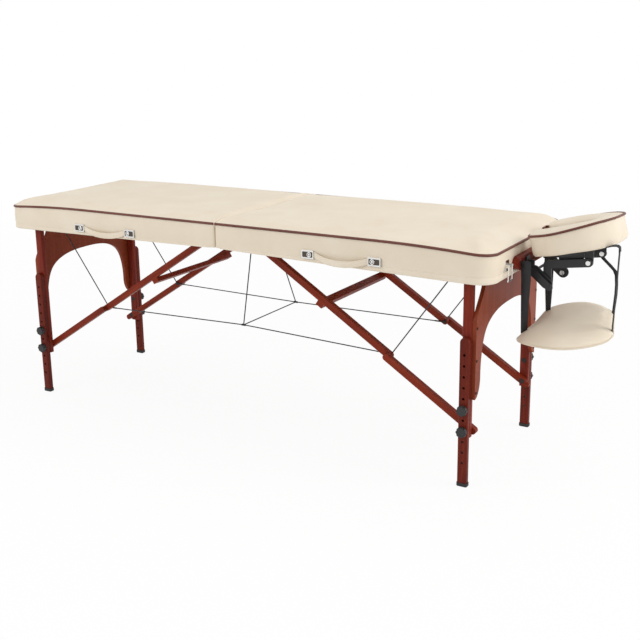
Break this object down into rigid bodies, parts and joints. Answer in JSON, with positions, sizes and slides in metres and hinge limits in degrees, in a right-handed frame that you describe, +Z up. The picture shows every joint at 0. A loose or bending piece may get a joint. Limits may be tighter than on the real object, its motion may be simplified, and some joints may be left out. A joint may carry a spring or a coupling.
{
  "type": "folding massage table",
  "caption": "Padded folding massage table with wooden braced legs of adjustable height, strap handles and a tilting face cradle with an arm shelf.",
  "frame": {"origin": "middle of the whole plan, on the floor under the feet", "axes": "+X along the table towards the face cradle, +Y towards the far side without handles, +Z up"},
  "size_m": [2.126, 0.6366, 0.7956],
  "materials": {
    "cream_leather": "satin",
    "brown_piping": "satin",
    "mahogany_wood": "satin",
    "frame_wood": "satin",
    "foam": "matte",
    "zinc_steel": "satin",
    "cable_steel": "satin",
    "chrome": "polished",
    "black_rubber": "matte",
    "black_plastic": "satin",
    "black_steel": "satin",
    "black_webbing": "matte"
  },
  "bodies": {
    "left_top": {"left_frame_rails": "frame_wood", "left_deck": "frame_wood", "left_foam": "foam", "left_cover": "cream_leather", "left_piping": "brown_piping", "left_hinge_leaves": "zinc_steel", "left_brackets": "zinc_steel", "left_cables": "cable_steel", "left_handle_strap": "cream_leather", "left_fittings": "chrome"},
    "left_legs": {"left_leg_posts": "mahogany_wood", "left_arch_panel": "mahogany_wood", "left_leg_bolts": "black_steel"},
    "left_upper_brace": {"left_upper_struts": "mahogany_wood"},
    "left_lower_brace": {"left_lower_struts": "mahogany_wood"},
    "left_run": {"left_runs": "cable_steel"},
    "near_left_foot_leg": {"near_left_lower_leg": "mahogany_wood", "near_left_foot": "black_rubber"},
    "near_left_upper_knob": {"near_left_upper_knob": "black_plastic"},
    "near_left_lower_knob": {"near_left_lower_knob": "black_plastic"},
    "far_left_foot_leg": {"far_left_lower_leg": "mahogany_wood", "far_left_foot": "black_rubber"},
    "far_left_upper_knob": {"far_left_upper_knob": "black_plastic"},
    "far_left_lower_knob": {"far_left_lower_knob": "black_plastic"},
    "right_top": {"right_frame_rails": "frame_wood", "right_deck": "frame_wood", "right_foam": "foam", "right_cover": "cream_leather", "right_piping": "brown_piping", "right_hinge_leaves": "zinc_steel", "right_brackets": "zinc_steel", "right_cables": "cable_steel", "right_handle_strap": "cream_leather", "right_fittings": "chrome"},
    "right_legs": {"right_leg_posts": "mahogany_wood", "right_arch_panel": "mahogany_wood", "right_leg_bolts": "black_steel"},
    "right_upper_brace": {"right_upper_struts": "mahogany_wood"},
    "right_lower_brace": {"right_lower_struts": "mahogany_wood"},
    "right_run": {"right_runs": "cable_steel"},
    "near_right_foot_leg": {"near_right_lower_leg": "mahogany_wood", "near_right_foot": "black_rubber"},
    "near_right_upper_knob": {"near_right_upper_knob": "black_plastic"},
    "near_right_lower_knob": {"near_right_lower_knob": "black_plastic"},
    "far_right_foot_leg": {"far_right_lower_leg": "mahogany_wood", "far_right_foot": "black_rubber"},
    "far_right_upper_knob": {"far_right_upper_knob": "black_plastic"},
    "far_right_lower_knob": {"far_right_lower_knob": "black_plastic"},
    "hinge_pins": {"hinge_pins": "zinc_steel"},
    "latch_bail": {"latch_bail": "chrome"},
    "cradle_base": {"cradle_board": "mahogany_wood", "cradle_brackets": "black_steel", "shelf_pad": "cream_leather", "inner_straps": "black_webbing", "outer_straps": "black_webbing"},
    "cradle_arms": {"cradle_arms": "black_steel", "cradle_bolts": "zinc_steel"},
    "cradle_platform": {"cradle_platform": "black_steel", "face_pad": "cream_leather"},
    "cradle_lever": {"cradle_lever": "black_plastic"}
  },
  "joints": [
    {"name": "fold", "type": "hinge", "parent": "left_top", "child": "hinge_pins", "pos_m": [-0.13198, 0.00588, 0.634], "axis": [0, 1, 0], "range_deg": [0, 90], "deforming": ["left_cables", "right_cables"]},
    {"name": "close", "type": "hinge", "parent": "hinge_pins", "child": "right_top", "pos_m": [-0.13198, 0.00588, 0.634], "axis": [0, 1, 0], "range_deg": [0, 90], "deforming": ["left_runs", "right_runs"]},
    {"name": "left_leg_fold", "type": "hinge", "parent": "left_top", "child": "left_legs", "pos_m": [-0.96998, 0.00588, 0.6655], "axis": [0, -1, 0], "range_deg": [0, 90]},
    {"name": "left_upper_fold", "type": "hinge", "parent": "left_top", "child": "left_upper_brace", "pos_m": [-0.18698, 0.00588, 0.673], "axis": [0, 1, 0], "range_deg": [0, 32.52]},
    {"name": "left_lower_fold", "type": "hinge", "parent": "left_legs", "child": "left_lower_brace", "pos_m": [-0.96998, 0.00588, 0.174], "axis": [0, -1, 0], "range_deg": [0, 56.15]},
    {"name": "left_run_fold", "type": "hinge", "parent": "left_upper_brace", "child": "left_run", "pos_m": [-0.70135, 0.00588, 0.34519], "axis": [0, -1, 0], "range_deg": [0, 30.02]},
    {"name": "near_left_height", "type": "slide", "parent": "left_legs", "child": "near_left_foot_leg", "axis": [0, 0, -1], "range_m": [-0.066, 0.132]},
    {"name": "near_left_upper_knob_turn", "type": "hinge", "parent": "left_legs", "child": "near_left_upper_knob", "pos_m": [-0.96998, -0.27503, 0.24], "axis": [0, -1, 0], "continuous": true},
    {"name": "near_left_lower_knob_turn", "type": "hinge", "parent": "left_legs", "child": "near_left_lower_knob", "pos_m": [-0.96998, -0.27503, 0.174], "axis": [0, -1, 0], "continuous": true},
    {"name": "far_left_height", "type": "slide", "parent": "left_legs", "child": "far_left_foot_leg", "axis": [0, 0, -1], "range_m": [-0.066, 0.132]},
    {"name": "far_left_upper_knob_turn", "type": "hinge", "parent": "left_legs", "child": "far_left_upper_knob", "pos_m": [-0.96998, 0.28678, 0.24], "axis": [0, 1, 0], "continuous": true},
    {"name": "far_left_lower_knob_turn", "type": "hinge", "parent": "left_legs", "child": "far_left_lower_knob", "pos_m": [-0.96998, 0.28678, 0.174], "axis": [0, 1, 0], "continuous": true},
    {"name": "right_leg_fold", "type": "hinge", "parent": "right_top", "child": "right_legs", "pos_m": [0.70602, 0.00588, 0.6655], "axis": [0, 1, 0], "range_deg": [0, 90]},
    {"name": "right_upper_fold", "type": "hinge", "parent": "right_top", "child": "right_upper_brace", "pos_m": [-0.07698, 0.00588, 0.673], "axis": [0, -1, 0], "range_deg": [0, 32.52]},
    {"name": "right_lower_fold", "type": "hinge", "parent": "right_legs", "child": "right_lower_brace", "pos_m": [0.70602, 0.00588, 0.174], "axis": [0, 1, 0], "range_deg": [0, 56.15]},
    {"name": "right_run_fold", "type": "hinge", "parent": "right_upper_brace", "child": "right_run", "pos_m": [0.43739, 0.00588, 0.34519], "axis": [0, 1, 0], "range_deg": [0, 30.02]},
    {"name": "near_right_height", "type": "slide", "parent": "right_legs", "child": "near_right_foot_leg", "axis": [0, 0, -1], "range_m": [-0.066, 0.132]},
    {"name": "near_right_upper_knob_turn", "type": "hinge", "parent": "right_legs", "child": "near_right_upper_knob", "pos_m": [0.70602, -0.27503, 0.24], "axis": [0, -1, 0], "continuous": true},
    {"name": "near_right_lower_knob_turn", "type": "hinge", "parent": "right_legs", "child": "near_right_lower_knob", "pos_m": [0.70602, -0.27503, 0.174], "axis": [0, -1, 0], "continuous": true},
    {"name": "far_right_height", "type": "slide", "parent": "right_legs", "child": "far_right_foot_leg", "axis": [0, 0, -1], "range_m": [-0.066, 0.132]},
    {"name": "far_right_upper_knob_turn", "type": "hinge", "parent": "right_legs", "child": "far_right_upper_knob", "pos_m": [0.70602, 0.28678, 0.24], "axis": [0, 1, 0], "continuous": true},
    {"name": "far_right_lower_knob_turn", "type": "hinge", "parent": "right_legs", "child": "far_right_lower_knob", "pos_m": [0.70602, 0.28678, 0.174], "axis": [0, 1, 0], "continuous": true},
    {"name": "bail_swing", "type": "hinge", "parent": "right_top", "child": "latch_bail", "pos_m": [0.80502, -0.18912, 0.66], "axis": [0, -1, 0], "range_deg": [0, 150]},
    {"name": "cradle_slide", "type": "slide", "parent": "right_top", "child": "cradle_base", "axis": [1, 0, 0], "range_m": [0, 0.06]},
    {"name": "arm_pitch", "type": "hinge", "parent": "cradle_base", "child": "cradle_arms", "pos_m": [0.87102, 0.00588, 0.592], "axis": [0, 1, 0], "range_deg": [-6, 30], "deforming": ["outer_straps"]},
    {"name": "pad_tilt", "type": "hinge", "parent": "cradle_arms", "child": "cradle_platform", "pos_m": [0.98702, 0.00588, 0.662], "axis": [0, 1, 0], "range_deg": [0, 20]},
    {"name": "lever_turn", "type": "hinge", "parent": "cradle_base", "child": "cradle_lever", "pos_m": [0.83402, 0.00588, 0.624], "axis": [0, 1, 0], "range_deg": [-60, 0]}
  ],
  "couplings": [
    {"joint": "left_leg_fold", "follows": "fold", "ratio": 1},
    {"joint": "left_upper_fold", "follows": "fold", "ratio": 0.36121},
    {"joint": "left_lower_fold", "follows": "fold", "ratio": 0.6238},
    {"joint": "left_run_fold", "follows": "fold", "ratio": 0.33347},
    {"joint": "right_leg_fold", "follows": "fold", "ratio": 1},
    {"joint": "right_upper_fold", "follows": "fold", "ratio": 0.36121},
    {"joint": "right_lower_fold", "follows": "fold", "ratio": 0.6238},
    {"joint": "right_run_fold", "follows": "fold", "ratio": 0.33347}
  ]
}
